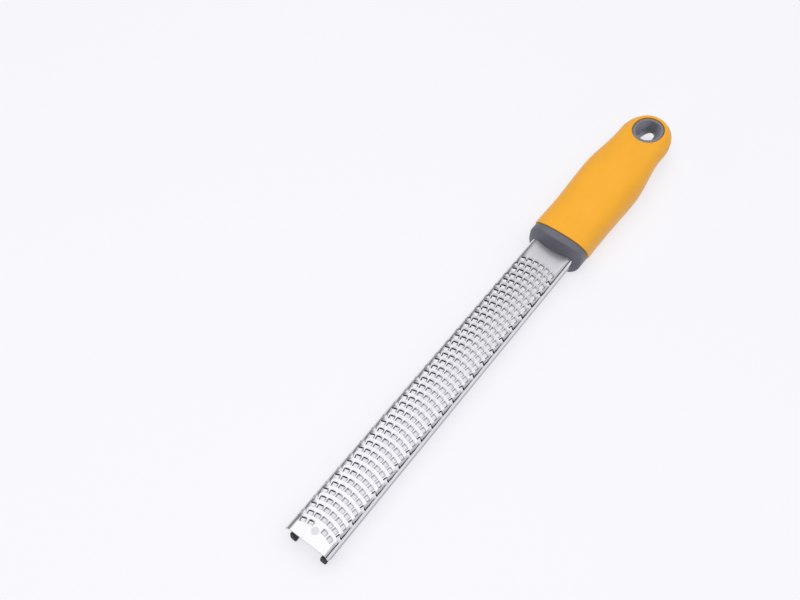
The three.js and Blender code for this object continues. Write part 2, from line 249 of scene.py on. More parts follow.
class Nodes:
    """A tree of shader nodes, each made and joined in one call."""

    def __init__(self, tree: bpy.types.NodeTree, space: str) -> None:
        """Starts with the coordinates that the nodes read.

        Args:
            tree: the tree of a material or of the world.
            space: the name of the coordinates.
        """
        self.tree = tree
        self.place = self.add("TexCoord", {}).outputs[space]

    def add(self, kind: str, inputs: Inputs) -> bpy.types.Node:
        """Adds a node of one kind and fills its inputs."""
        node = self.tree.nodes.new(f"ShaderNode{kind}")
        self.fill(node, inputs)
        return node

    def fill(self, node: bpy.types.Node, inputs: Inputs) -> None:
        """Sets a node's inputs to numbers or colours, or joins them to the sockets of other nodes."""
        for name, value in inputs.items():
            if isinstance(value, Socket):
                self.tree.links.new(value, node.inputs[name])
            else:
                node.inputs[name].default_value = value

    def axis(self, letter: str) -> Socket:
        """One of the coordinates."""
        return self.add("SeparateXYZ", {"Vector": self.place}).outputs[letter]

    def spread(self, value: Socket, start: float, stop: float, low: float = 0.0, high: float = 1.0) -> Socket:
        """Stretches a value's range from start to stop over the numbers from low to high."""
        inputs = {"Value": value, "From Min": start, "From Max": stop, "To Min": low, "To Max": high}
        return self.add("MapRange", inputs).outputs["Result"]

    def calculate(self, operation: str, *values: Socket | float) -> Socket:
        """Works out one number from others."""
        node = self.add("Math", dict(enumerate(values)))
        node.operation = operation
        return node.outputs["Value"]

    def mixed(self, share: Socket | float, first: object, second: object, blend: str = "MIX") -> Socket:
        """Mixes two colours, each a socket or four numbers."""
        node = self.add("Mix", {})
        node.data_type = "RGBA"
        node.blend_type = blend
        self.fill(node, {"Factor": share, 6: first, 7: second})
        return node.outputs[2]

    def ramp(self, value: Socket, stops: list[tuple[float, Colour]]) -> Socket:
        """Colours a value by a ramp through stops, each a number and the colour there."""
        node = self.add("ValToRGB", {"Fac": value})
        elements = node.color_ramp.elements
        elements.remove(elements[1])
        elements[0].position = stops[0][0]
        elements[0].color = (*stops[0][1], 1.0)
        for place, colour in stops[1:]:
            elements.new(place).color = (*colour, 1.0)
        return node.outputs["Color"]

    def greys(self, value: Socket, stops: Pairs) -> Socket:
        """Shades a value by a ramp through stops, each a number and the brightness there."""
        return self.ramp(value, [(place, (level, level, level)) for place, level in stops])


class Finish(Nodes):
    """A material's nodes, read at the object's own coordinates."""

    def __init__(self, name: str) -> None:
        """Starts a material with one principled shader."""
        self.material = bpy.data.materials.new(name)
        self.material.use_nodes = True
        super().__init__(self.material.node_tree, "Object")
        self.shader = self.tree.nodes["Principled BSDF"]

    def noise(self, grains: Place, detail: float, roughness: float = 0.5) -> Socket:
        """Adds a noise.

        Args:
            grains: how many grains a metre along x, y and z.
            detail: how many finer layers the noise has.
            roughness: how strong the finer layers are.

        Returns:
            The noise's value.
        """
        spot = self.add("Mapping", {"Vector": self.place, "Scale": grains}).outputs["Vector"]
        inputs = {"Vector": spot, "Scale": 1.0, "Detail": detail, "Roughness": roughness}
        return self.add("TexNoise", inputs).outputs["Fac"]

    def toned(self, noise: Socket, weak: Colour, strong: Colour) -> Socket:
        """A colour between two tones by a noise."""
        return self.ramp(noise, list(zip(NOISE_SPAN, (weak, strong))))

    def below(self, axis: str, limit: float, colour: Colour, rest: Socket, blur: float = 0.1 * MM) -> Socket:
        """One colour under a limit on an axis and the rest's above it, blurred together, in metres."""
        share = self.spread(self.axis(axis), limit, limit - blur)
        return self.mixed(share, rest, (*colour, 1.0))

    def relief(self, height: Socket, depth: float, strength: float) -> Socket:
        """Raises and sinks the surface by a noise, to a depth in metres."""
        inputs = {"Height": height, "Distance": depth, "Strength": strength}
        return self.add("Bump", inputs).outputs["Normal"]


@dataclass(frozen=True)
class RolledSteel:
    """Bright stainless sheet: fine rolling lines along the blade, faint smudges, and painted shade on the
    flanges.

    A painted highlight lightens the bends' lower half, and the plain strip in front of the handle is satin.

    Attributes:
        bright: the reflected colour along most lines.
        dull: the colour in the lines between.
        bend: the colour of the bends' lower half, a painted highlight for the bright strip that they mirror.
        bend_start: the height in metres where that half starts.
        flange: the colour below the bends, darkened as painted shade for the shaded floor that they mirror.
        bend_height: the height in metres where the bends end.
        smooth: the lowest roughness.
        rough: the highest roughness.
        satin_from: where along the blade, in metres, the satin strip begins.
        satin_full: where it reaches its full roughness.
        satin: the roughness that the strip adds.
        face_height: the height in metres of the blade's face.
        face_edge: how far under the face, in metres, the satin has faded out and where it is whole.
        cut: the colour of the sheet's cut edge at the tip, painted dark as painted shade.
        tip: where along the blade, in metres, that edge starts.
        lines: rolling lines in a metre along x, y and z.
        line_depth: the lines' height in metres.
        line_strength: how much of it shows.
        smudges: smudges in a metre along x, y and z.
    """

    bright: Colour = (0.745, 0.74, 0.78)
    dull: Colour = (0.685, 0.68, 0.72)
    bend: Colour = (0.77, 0.77, 0.79)
    bend_start: float = 0.0126
    flange: Colour = (0.34, 0.34, 0.36)
    bend_height: float = 0.0109
    smooth: float = 0.1
    rough: float = 0.18
    satin_from: float = 0.029
    satin_full: float = 0.036
    satin: float = 0.22
    face_height: float = 0.014
    face_edge: tuple[float, float] = (0.0004, 0.00005)
    cut: Colour = (0.2, 0.2, 0.21)
    tip: float = -0.16315
    lines: Place = (5200.0, 90.0, 5200.0)
    line_depth: float = 0.000012
    line_strength: float = 0.35
    smudges: Place = (70.0, 45.0, 70.0)

    def material(self) -> bpy.types.Material:
        """Makes the steel's material."""
        nodes = Finish("rolled_steel")
        lines = nodes.noise(self.lines, detail=3.0)
        colour = nodes.toned(lines, self.dull, self.bright)
        # Painted highlight: the bends' lower half is lightened for the bright strip that they mirror.
        colour = nodes.below("Z", self.bend_start, self.bend, colour)
        # Painted shade: the flanges below the bends are darkened for the shaded floor that they mirror.
        colour = nodes.below("Z", self.bend_height, self.flange, colour)
        # Painted shade: the cut edge at the tip is darkened.
        colour = nodes.below("Y", self.tip, self.cut, colour)
        polish = nodes.spread(nodes.noise(self.smudges, detail=2.0), *NOISE_SPAN, self.smooth, self.rough)
        faded, whole = (self.face_height - under for under in self.face_edge)
        on_face = nodes.spread(nodes.axis("Z"), faded, whole)
        growth = nodes.spread(nodes.axis("Y"), self.satin_from, self.satin_full, 0.0, self.satin)
        nodes.fill(nodes.shader, {
            "Base Color": colour,
            "Metallic": 1.0,
            "Roughness": nodes.calculate("MULTIPLY_ADD", growth, on_face, polish),
            "Normal": nodes.relief(lines, self.line_depth, self.line_strength),
        })
        return nodes.material


@dataclass(frozen=True)
class Moulding:
    """A moulded polymer: even colour with slow mottling, and a fine grain from the mould.

    Attributes:
        name: the material's name.
        pale: the colour's lighter tone.
        deep: the colour's darker tone.
        grains: grains of the mould's texture in a metre.
        grain_depth: the texture's height in metres.
        smooth: the lowest roughness.
        rough: the highest roughness.
        sheen: how much the surface pales at a grazing angle.
        sheen_spread: how soft that paling is.
        gloss: how strongly the surface mirrors.
        mottling: patches of tone in a metre along x, y and z.
        grain_strength: how much of the texture shows.
    """

    name: str
    pale: Colour
    deep: Colour
    grains: float
    grain_depth: float
    smooth: float
    rough: float
    sheen: float
    sheen_spread: float = 0.4
    gloss: float = 0.3
    mottling: Place = (110.0, 60.0, 110.0)
    grain_strength: float = 0.5

    def material(self) -> bpy.types.Material:
        """Makes the moulding's material."""
        nodes = Finish(self.name)
        grain = nodes.noise((self.grains, self.grains, self.grains), detail=2.0, roughness=0.6)
        nodes.fill(nodes.shader, {
            "Base Color": nodes.toned(nodes.noise(self.mottling, detail=3.0), self.deep, self.pale),
            "Roughness": nodes.spread(grain, *NOISE_SPAN, self.smooth, self.rough),
            "Normal": nodes.relief(grain, self.grain_depth, self.grain_strength),
            "Specular IOR Level": self.gloss,
            "Sheen Weight": self.sheen,
            "Sheen Roughness": self.sheen_spread,
        })
        return nodes.material


STEEL = RolledSteel()
SOFT_GRIP = Moulding(
    "soft_orange_grip", (0.915, 0.425, 0.027), (0.89, 0.405, 0.023), 3200.0, 0.00003, 0.5, 0.62, 0.2)
SLATE = Moulding(
    "slate_moulding", (0.15, 0.15, 0.182), (0.134, 0.134, 0.165), 2600.0, 0.00002, 0.38, 0.5, 0.0)
# Painted light: the eye's lining is the collar's moulding, smoother and painted lighter for the light it
# catches.
SMOOTH_SLATE_PAINTED_LIGHTER = Moulding(
    "smooth_slate_painted_lighter", (0.215, 0.215, 0.255), (0.2, 0.2, 0.237), 2600.0, 0.00001, 0.22, 0.32, 0.0)
FOOT_RUBBER = Moulding(
    "foot_rubber", (0.036, 0.033, 0.044), (0.028, 0.026, 0.036), 2400.0, 0.00003, 0.62, 0.78, 0.0)


def dress(piece: bpy.types.Object, material: bpy.types.Material, node: str) -> None:
    """Gives a piece its material and its place in the frame.

    Args:
        piece: the new piece.
        material: its finish.
        node: the CAD node that it stands for.
    """
    piece.data.materials.append(material)
    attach(piece, BODY)
    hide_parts(node)
    LOG.info("%s: %d faces", piece.name, len(piece.data.polygons))


@dataclass
class Blade:
    """The etched sheet: bowed rows of arched holes, a flange down each side and a tang in the handle.

    The sheet is worked out flat, as s across its skin, y along it and a rise out of it, and then folded. Each
    point of the pattern has two such places, on the outer skin and on the inner one.
    """

    thickness: float = 0.5
    face_height: float = 14.0
    half_width: float = 12.75
    bend_radius: float = 3.4
    flange_depth: float = 6.5
    corner_setback: float = 2.2
    channel_end: float = 212.0
    tang_end: float = 264.0
    tip_hole_radius: float = 2.0
    tip_hole_setback: float = 6.55
    first_row: float = 8.9
    rows: int = 43
    row_pitch: float = 4.42
    bow_radius: float = 25.0
    column_pitch: float = 3.75
    cell_lean: float = 1.105
    last_column: int = 7
    tang_column: int = 4
    hole_half_width: float = 1.63
    hole_near: float = -1.3
    hole_far: float = 1.2
    hole_arch: float = 0.35
    wall_slope: float = 0.58
    near_slope: float = 0.6
    tooth_lean: float = 0.6
    edge_lift: float = 0.08
    arch_power: float = 3.2
    tip_row: tuple[int, ...] = (-2, -1, 1, 2)
    tip_row_spacing: float = 4.05
    tip_cell_margin: float = 0.2
    line_steps: int = 3
    side_steps: int = 3
    plain_steps: int = 8
    tip_steps: int = 4
    front_steps: int = 72
    round_steps: int = 32
    tip_bend_inner: float = 0.4
    tip_bend_outer: float = 0.3
    tip_bend_columns: int = 12
    tip_bend_start: float = 0.5
    tip_bend_end: float = 5.5
    tip_bend_rows: int = 11
    sharp_angle: float = 24.0

    @property
    def flat_half(self) -> float:
        """Half the width of the flat face."""
        return self.half_width - self.bend_radius

    @property
    def bend_end(self) -> float:
        """Where the bend ends, along the skin from the centreline."""
        return self.flat_half + self.bend_radius * np.pi / 2

    @property
    def sheet_edge(self) -> float:
        """Where the flange ends, along the skin from the centreline."""
        return self.bend_end + self.flange_depth - self.bend_radius

    @property
    def half_step(self) -> float:
        """The bow's angle in radians over half a column."""
        return self.column_pitch / 2 / self.bow_radius

    def fold(self, flat: Array) -> Array:
        """Folds the flat pattern: level to the bend, a quarter turn round it, then straight down.

        Args:
            flat: points as s, y and rise.

        Returns:
            The points as x, y and z.
        """
        s, y, rise = np.moveaxis(flat, -1, 0)
        reach = np.abs(s)
        turn = np.clip((reach - self.flat_half) / self.bend_radius, 0.0, np.pi / 2)
        radius = self.bend_radius + rise
        x = np.minimum(reach, self.flat_half) + radius * np.sin(turn)
        drop = np.maximum(reach - self.bend_end, 0.0)
        z = self.face_height - self.bend_radius + radius * np.cos(turn) - drop
        return np.stack([np.sign(s) * x, y, z], -1)

    def row_y(self, row: Array | int) -> Array | float:
        """The y of a row at the centreline."""
        return self.first_row + (row - 1) * self.row_pitch

    def line(self, line: Array | int, columns: Array) -> Array:
        """Points on the bowed line after a row. Each leans with the one row that has a cell corner there.

        Args:
            line: the number of the row before the line, alone or one a stack.
            columns: half-columns from the centreline, in the last axis.

        Returns:
            The points as s, y and a rise of 0.
        """
        rows = np.asarray(line)[..., None] + 0 * columns
        turn = columns * self.half_step
        lean = np.where((rows + columns) % 2 != 0, self.cell_lean, -self.cell_lean)
        s = (self.bow_radius + lean) * np.sin(turn)
        y = self.row_y(rows) + self.row_pitch / 2 - self.bow_radius * (1 - np.cos(turn))
        return np.stack([s, y, 0 * s], -1)

    def outline(self, margin: float) -> Array:
        """A tooth's outline about its middle: three straight sides and a superellipse arch to the handle.

        Args:
            margin: how far the outline stands outside the hole, by a smaller share of that on its near side.

        Returns:
            Points as u, v and a rise of 0, from the near left corner round to the right.
        """
        half = self.hole_half_width + margin
        near, far = self.hole_near - margin * self.near_slope, self.hole_far + margin
        arch = self.hole_arch + margin / 2
        shoulder = far - arch
        across, up = 2 * self.line_steps, self.side_steps
        edge = np.linspace(-half, half, across + 1)[:-1]
        side = np.linspace(near, shoulder, up + 1)[:-1]
        angle = np.linspace(0.0, np.pi, across + 1)[:-1]
        arch_u = half * bulged(np.cos(angle), self.arch_power)
        arch_v = shoulder + arch * bulged(np.sin(angle), self.arch_power)
        down = np.linspace(shoulder, near, up + 1)[:-1]
        u = np.concatenate([edge, np.full(up, half), arch_u, np.full(up, -half)])
        v = np.concatenate([np.full(across, near), side, arch_v, down])
        return np.stack([u, v, 0 * u], -1)

    def hole(self) -> tuple[Array, Array]:
        """The hole's edges on both skins: the outer one lifted along its arch, the inner one narrower."""
        outer = self.outline(0.0)
        shoulder = self.hole_far - self.hole_arch
        outer[:, 2] = self.edge_lift * np.clip((outer[:, 1] - shoulder) / self.hole_arch, 0.0, 1.0)
        inner = self.outline(-self.wall_slope) - [0.0, 0.0, self.thickness]
        return outer, inner

    def on_bow(self, outline: Array, row: Array, turn: Array) -> Array:
        """Sets an outline on a bowed row, its near and far edges along the bow and its sides leaning less.

        Args:
            outline: points as u, v and rise.
            row: the row of each copy.
            turn: the bow's angle at each copy.

        Returns:
            One outline a copy, as s, y and rise.
        """
        u, v, rise = outline.T
        sine, cosine = np.sin(turn)[:, None], np.cos(turn)[:, None]
        s = self.bow_radius * sine + u * cosine + v * sine * self.tooth_lean
        y = self.row_y(row)[:, None] - self.bow_radius * (1 - cosine) - u * sine + v * cosine
        return np.stack([s, y, rise + 0 * s], -1)

    def two_skins(self, surface: Surface) -> Surface:
        """Gives each point of an outer skin its place on the inner one, straight under it."""
        inner = surface.points - [0.0, 0.0, self.thickness]
        return Surface(np.concatenate([surface.points, inner], 1), surface.quads, surface.triangles)

    def rings(self, row: Array, turn: Array, borders: Array) -> Surface:
        """The steel round each hole, from the hole's edge to the cell's border on both skins.

        Args:
            row: the row of each cell.
            turn: the bow's angle at each cell.
            borders: one border a cell, with as many points as a hole.

        Returns:
            The cells' two skins on the flat pattern.
        """
        outer, inner = (self.on_bow(edge, row, turn) for edge in self.hole())
        edges = np.concatenate([outer, inner], -1)
        rest = np.concatenate([borders, borders - [0.0, 0.0, self.thickness]], -1)
        return Surface.grid(np.stack([edges, rest], 1), ring=True)

    def cells(self) -> Surface:
        """Every tooth cell from the second row on: a hexagon on the bow with the hole inside."""
        parts = []
        for parity in (0, 1):
            outer = self.last_column - parity
            middles = np.arange(1 - outer, outer, 2)
            rows = np.arange(2 + parity, self.rows + 1, 2)
            row, middle = (part.ravel() for part in np.meshgrid(rows, middles, indexing="ij"))
            forward = middle[:, None] + np.arange(-1, 2)
            near = finer(self.line(row - 1, forward), self.line_steps)
            far = finer(self.line(row, forward[:, ::-1]), self.line_steps)
            right = finer(np.stack([near[:, -1], far[:, 0]], 1), self.side_steps)
            left = finer(np.stack([far[:, -1], near[:, 0]], 1), self.side_steps)
            borders = np.concatenate([part[:, :-1] for part in (near, right, far, left)], 1)
            parts.append(self.rings(row, middle * self.half_step, borders))
        return Surface.joined(parts)

    def strip(self, near: Array, far: Array, side: Side, steps: int, setback: float = 0.0) -> Surface:
        """The plain steel from the outermost column over the bend to the flange's edge.

        Args:
            near: the strip's inner corner towards the tip, or one a row.
            far: its inner corner towards the handle, or one a row.
            side: which side of the blade.
            steps: how many steps it has along the blade.
            setback: how far the flange's lower corner is cut back.

        Returns:
            The strip on the flat pattern.
        """
        along = finer(np.stack([near, far], -2), steps)
        reach = np.linspace(1.0, 0.0, steps + 1)[:, None]
        shares = np.linspace(0.0, 1.0, self.line_steps + 1)
        inner = along[..., :1] * (1 - shares) + side.value * self.bend_end * shares
        flange = side.value * (self.bend_end + shares[1:] * (self.sheet_edge - self.bend_end))
        s = np.concatenate([inner, np.broadcast_to(flange, (*inner.shape[:-1], self.line_steps))], -1)
        cut = np.concatenate([0 * shares, shares[1:] * setback])
        y = along[..., 1:2] + reach * cut
        return Surface.grid(np.stack([s, y, 0 * s], -1))

    def sides(self) -> Surface:
        """Both side strips along the toothed length, with the half cells that end the shorter rows."""
        parts = []
        rows = np.arange(2, self.rows + 1)
        odd = rows[1::2]
        for side in Side:
            corner = np.array([side.value * self.last_column])
            parts.append(self.strip(
                self.line(rows - 1, corner)[:, 0], self.line(rows, corner)[:, 0], side, self.side_steps))
            gap = side.value * np.array([self.last_column - 1, self.last_column])
            near = finer(self.line(odd - 1, gap), self.line_steps)
            far = finer(self.line(odd, gap), self.line_steps)
            parts.append(Surface.grid(near[:, None] + blend_shares(self.side_steps) * (far - near)[:, None]))
        return Surface.joined(parts)

    def handle_end(self) -> Surface:
        """The plain steel from the last row into the collar, and the tang behind it."""
        columns = np.arange(-self.last_column, self.last_column + 1)
        bowed = finer(self.line(self.rows, columns), self.line_steps)
        straight = bowed * [1.0, 0.0, 1.0] + [0.0, self.channel_end, 0.0]
        parts = [Surface.grid(bowed + blend_shares(self.plain_steps) * (straight - bowed))]
        inner = (self.last_column - self.tang_column) * self.line_steps
        root = straight[inner:-inner]
        tip = root * [1.0, 0.0, 1.0] + [0.0, self.tang_end, 0.0]
        parts.append(Surface.grid(np.stack([root, tip])))
        for side, end in ((Side.LEFT, 0), (Side.RIGHT, -1)):
            parts.append(self.strip(bowed[end], straight[end], side, self.plain_steps))
        return Surface.joined(parts)

    def tip_end(self) -> Surface:
        """The plain steel at the tip, with its round hole and the first short row of teeth."""
        turn = np.array(self.tip_row) * self.tip_row_spacing / self.bow_radius
        row = np.ones(len(turn), int)
        teeth = self.on_bow(self.outline(self.tip_cell_margin), row, turn)
        parts = [self.rings(row, turn, teeth)]

        columns = np.arange(-self.last_column, self.last_column + 1)
        bowed = finer(self.line(1, columns), self.line_steps)
        foot = bowed[[0, -1]] * [1.0, 0.0, 1.0]
        front = finer(foot, self.front_steps)
        right = finer(np.stack([foot[1], bowed[-1]]), self.tip_steps)
        left = finer(np.stack([bowed[0], foot[0]]), self.tip_steps)
        outline = np.concatenate([front[:-1], right[:-1], bowed[:0:-1], left[:-1]])
        angle = full_turn(self.round_steps)
        round_hole = np.stack([
            self.tip_hole_radius * np.cos(angle),
            self.tip_hole_setback + self.tip_hole_radius * np.sin(angle),
            0 * angle,
        ], -1)
        inner, outer = self.flat_half - self.tip_bend_inner, foot[1, 0] - self.tip_bend_outer
        reach = np.linspace(inner, outer, self.tip_bend_columns)
        along = np.linspace(self.tip_bend_start, self.tip_bend_end, self.tip_bend_rows)
        bend_s, bend_y = np.meshgrid(np.concatenate([-reach, reach]), along)
        inside = np.stack([bend_s.ravel(), bend_y.ravel(), 0 * bend_s.ravel()], -1)
        parts.append(self.two_skins(self.panel(outline, [round_hole, *teeth], inside)))
        for side, end in ((Side.LEFT, 0), (Side.RIGHT, -1)):
            strip = self.strip(foot[end], bowed[end], side, self.tip_steps, self.corner_setback)
            parts.append(self.two_skins(strip))
        return Surface.joined(parts)

    def panel(self, outline: Array, holes: list[Array], inside: Array) -> Surface:
        """Triangles over a flat outline with holes, through some points inside it.

        Args:
            outline: the panel's edge.
            holes: the edges of its holes.
            inside: further points that the triangles meet at.

        Returns:
            The panel on the flat pattern.
        """
        loops = [outline, *holes]
        starts = np.cumsum([0] + [len(loop) for loop in loops])
        rounds = [start + np.arange(len(loop)) for start, loop in zip(starts, loops)]
        edges = np.concatenate([np.stack([ring, np.roll(ring, -1)], -1) for ring in rounds])
        flat = list(map(Vector, np.concatenate([*loops, inside])[:, :2].tolist()))
        inside_outline, grain = 1, 1e-7
        places, _, faces, sources, *_ = delaunay_2d_cdt(flat, edges.tolist(), [], inside_outline, grain)
        found = np.pad(np.array(places), ((0, 0), (0, 1)))
        loop = np.searchsorted(starts, [source[0] for source in sources], "right")
        triangles = np.array([list(face) for face in faces])
        first, second, third = loop[triangles].T
        filling = (first == second) & (second == third) & (first > 1) & (first <= len(loops))
        return Surface(found, np.zeros((0, 4), int), triangles[~filling])

    def pattern(self) -> Surface:
        """The whole flat pattern in one piece, every face turned to the outer skin."""
        plain = self.two_skins(Surface.joined([self.sides(), self.handle_end()]))
        sheet = Surface.joined([self.cells(), plain, self.tip_end()]).welded()
        s, y = sheet.points.T[:2]
        quads, triangles = (
            np.where(self.turns_left(s, y, faces)[:, None], faces, faces[:, ::-1])
            for faces in (sheet.quads, sheet.triangles)
        )
        return Surface(sheet.points, quads, triangles)

    def turns_left(self, s: Array, y: Array, faces: Array) -> Array:
        """Whether each face runs anticlockwise on the pattern, by the sign of its shoelace area."""
        a, b = s[faces], y[faces]
        return (a * np.roll(b, -1, 1) - b * np.roll(a, -1, 1)).sum(1) > 0

    def sheet(self) -> Surface:
        """The folded sheet: an outer and an inner skin, joined by a wall along every open edge."""
        flat = self.pattern()
        count = len(flat.points)
        edges = np.concatenate([
            np.stack([faces, np.roll(faces, -1, 1)], -1).reshape(-1, 2)
            for faces in (flat.quads, flat.triangles)
        ])
        codes, back = edges @ [count, 1], edges @ [1, count]
        start, stop = edges[~np.isin(codes, back)].T
        walls = np.stack([stop, start, start + count, stop + count], -1)
        return Surface(
            self.fold(np.concatenate([flat.points[:, :3], flat.points[:, 3:]])),
            np.concatenate([flat.quads, flat.quads[:, ::-1] + count, walls]),
            np.concatenate([flat.triangles, flat.triangles[:, ::-1] + count]),
        )

    def build(self, steel: bpy.types.Material) -> None:
        """Makes the blade and dresses it in its steel."""
        piece = self.sheet().to_object("etched_blade", self.sharp_angle)
        dress(piece, steel, "blade")


@dataclass
class TipFoot:
    """A rubber foot: an egg-shaped nose at the tip, behind it a slanting leg up to the flange."""

    side: Side
    length: float = 7.2
    sole_inner: float = 7.2
    sole_outer: float = 10.8
    nose_length: float = 1.2
    nose_height: float = 8.6
    nose_belly: float = 1.7
    nose_lean: float = 0.45
    nose_point: float = 1.7
    nose_round: float = 2.0
    nose_flat: float = 2.6
    change_length: float = 1.68
    change_rows: int = 8
    head_inner: float = 10.1
    head_outer: float = 11.7
    head_height: float = 11.0
    leg_power: float = 5.0
    edge_radius: float = 0.5
    edge_steps: int = 4
    points_round: int = 48
    sharp_angle: float = 50.0

    def nose(self, angle: Array) -> Array:
        """The nose's section: a superellipse, flat-bottomed below its widest line and pointed above it."""
        sine, cosine = np.sin(angle), np.cos(angle)
        upper = sine > 0
        reach = np.where(upper, self.nose_height - self.nose_belly, self.nose_belly)
        z = self.nose_belly + reach * bulged(sine, np.where(upper, self.nose_point, self.nose_flat))
        half = (self.sole_outer - self.sole_inner) / 2
        x = self.sole_inner + half + half * bulged(cosine, np.where(upper, self.nose_round, self.nose_flat))
        return np.stack([x + self.nose_lean * z / self.nose_height, z], -1)

    def leg(self, angle: Array) -> Array:
        """The leg's section: a squarish superellipse that slants out and tapers upwards."""
        z = self.head_height / 2 * (1 + bulged(np.sin(angle), self.leg_power))
        share = eased(z / self.head_height)
        inner = self.sole_inner + share * (self.head_inner - self.sole_inner)
        outer = self.sole_outer + share * (self.head_outer - self.sole_outer)
        x = (inner + outer) / 2 + (outer - inner) / 2 * bulged(np.cos(angle), self.leg_power)
        return np.stack([x, z], -1)

    def surface(self) -> Surface:
        """Carries the section from the nose back to the leg, drawn in round both ends."""
        angle = full_turn(self.points_round)
        along, drawn = rounded_edge(self.edge_radius, self.edge_steps)
        change = self.nose_length + np.linspace(0.0, self.change_length, self.change_rows)
        y = np.concatenate([along, change, self.length - along[::-1]])
        inset = np.concatenate([drawn, 0 * change, drawn[::-1]])[:, None, None]
        share = eased((y - self.nose_length) / self.change_length)[:, None, None]
        section = self.nose(angle) * (1 - share) + self.leg(angle) * share
        middle = section.mean(1, keepdims=True)
        reach = np.linalg.norm(section - middle, axis=2, keepdims=True)
        section = middle + (section - middle) * (1 - inset / np.maximum(reach, self.edge_radius * 2))
        x, z = np.moveaxis(section, -1, 0)
        return Surface.tube(np.stack([self.side.value * x, y[:, None] + 0 * x, np.maximum(z, 0.0)], -1))

    def build(self, rubber: bpy.types.Material) -> None:
        """Makes the foot and dresses it in its rubber."""
        word = self.side.name.lower()
        piece = self.surface().to_object(f"{word}_rubber_foot", self.sharp_angle)
        dress(piece, rubber, f"{word}_tip_foot")


@dataclass
class HandleForm:
    """The handle's outer form, which the grip, the collar and the eye's lining share.

    Each cross-section is a superellipse, cut off flat where it meets the table.
    """

    seam: float = 213.0
    end: float = 326.4
    fit_gap: float = 0.3
    collar_half_width: float = 16.7
    collar_top: float = 23.4
    grip_proud: float = 0.6
    neck: float = 235.0
    neck_half_width: float = 17.2
    neck_top: float = 23.4
    swell: float = 270.0
    swell_half_width: float = 18.09
    swell_top: float = 24.79
    waist: float = 301.0
    waist_half_width: float = 15.15
    waist_top: float = 22.8
    bulge: float = 306.5
    bulge_half_width: float = 15.3
    bulge_top: float = 21.7
    heel_lift: float = 5.0
    sink: float = 2.5
    seam_lean: float = 0.4
    top_power: float = 2.5
    under_power: float = 2.9
    eye_y: float = 309.9
    eye_half_width: float = 8.8
    eye_half_length: float = 11.0
    eye_power: float = 2.05
    eye_height: float = 20.8
    eye_fall: float = 0.1
    eye_apron: float = 0.7

    def end_share(self, y: Array) -> Array:
        """How much of the full section is left: an ellipse's quarter from the bulge to the end."""
        along = np.clip((y - self.bulge) / (self.end - self.bulge), 0.0, 1.0)
        return np.sqrt(1 - along * along)

    def half_width(self, y: Array) -> Array:
        """The form's half width at y."""
        width = through_stations([
            (self.seam, self.collar_half_width + self.grip_proud), (self.neck, self.neck_half_width),
            (self.swell, self.swell_half_width), (self.waist, self.waist_half_width),
            (self.bulge, self.bulge_half_width), (self.end, self.bulge_half_width),
        ], y)
        return width * self.end_share(y)

    def heights(self, y: Array) -> tuple[Array, Array]:
        """The height of the form's widest line at y, and its half height there."""
        top = through_stations([
            (self.seam, self.collar_top + self.grip_proud), (self.neck, self.neck_top),
            (self.swell, self.swell_top), (self.waist, self.waist_top),
            (self.bulge, self.bulge_top), (self.end, self.bulge_top),
        ], y)
        under = through_stations([
            (self.seam, -self.sink), (self.swell, -self.sink), (self.waist, self.heel_lift),
            (self.end, self.heel_lift),
        ], y)
        return (top + under) / 2, (top - under) / 2 * self.end_share(y)

    def height(self, x: Array, y: Array, face: Face) -> Array:
        """The skin's z over a point of the plan, from the superellipse's equation.

        Args:
            x: places across.
            y: places along.
            face: which skin.

        Returns:
            The heights.
        """
        power = self.top_power if face is Face.TOP else self.under_power
        middle, half = self.heights(y)
        share = np.clip(np.abs(x) / np.maximum(self.half_width(y), TINY), 0.0, 1.0)
        rise = half * (1 - share**power) ** (1 / power)
        return np.maximum(middle + face.value * rise, 0.0)

    def ring(self, angle: Array, half_width: Array, top: Array, under: Array) -> tuple[Array, Array]:
        """Cross-sections as x and z for given half widths, tops and undersides, one a row."""
        sine, cosine = np.sin(angle), np.cos(angle)
        power = np.where(sine > 0, self.top_power, self.under_power)
        middle, half = (top + under) / 2, (top - under) / 2
        z = middle[:, None] + half[:, None] * bulged(sine, power)
        return half_width[:, None] * bulged(cosine, power), np.maximum(z, 0.0)

    def rim_plane(self, y: Array) -> Array:
        """The height of the flat that the eye's upper rim lies in, which falls towards the end."""
        return self.eye_height - self.eye_fall * (y - self.eye_y)

    def eye(self, angle: Array, half_width: Array | float, half_length: Array | float) -> tuple[Array, Array]:
        """An oval about the eye's middle as x and y."""
        x = half_width * bulged(np.cos(angle), self.eye_power)
        return x, self.eye_y + half_length * bulged(np.sin(angle), self.eye_power)


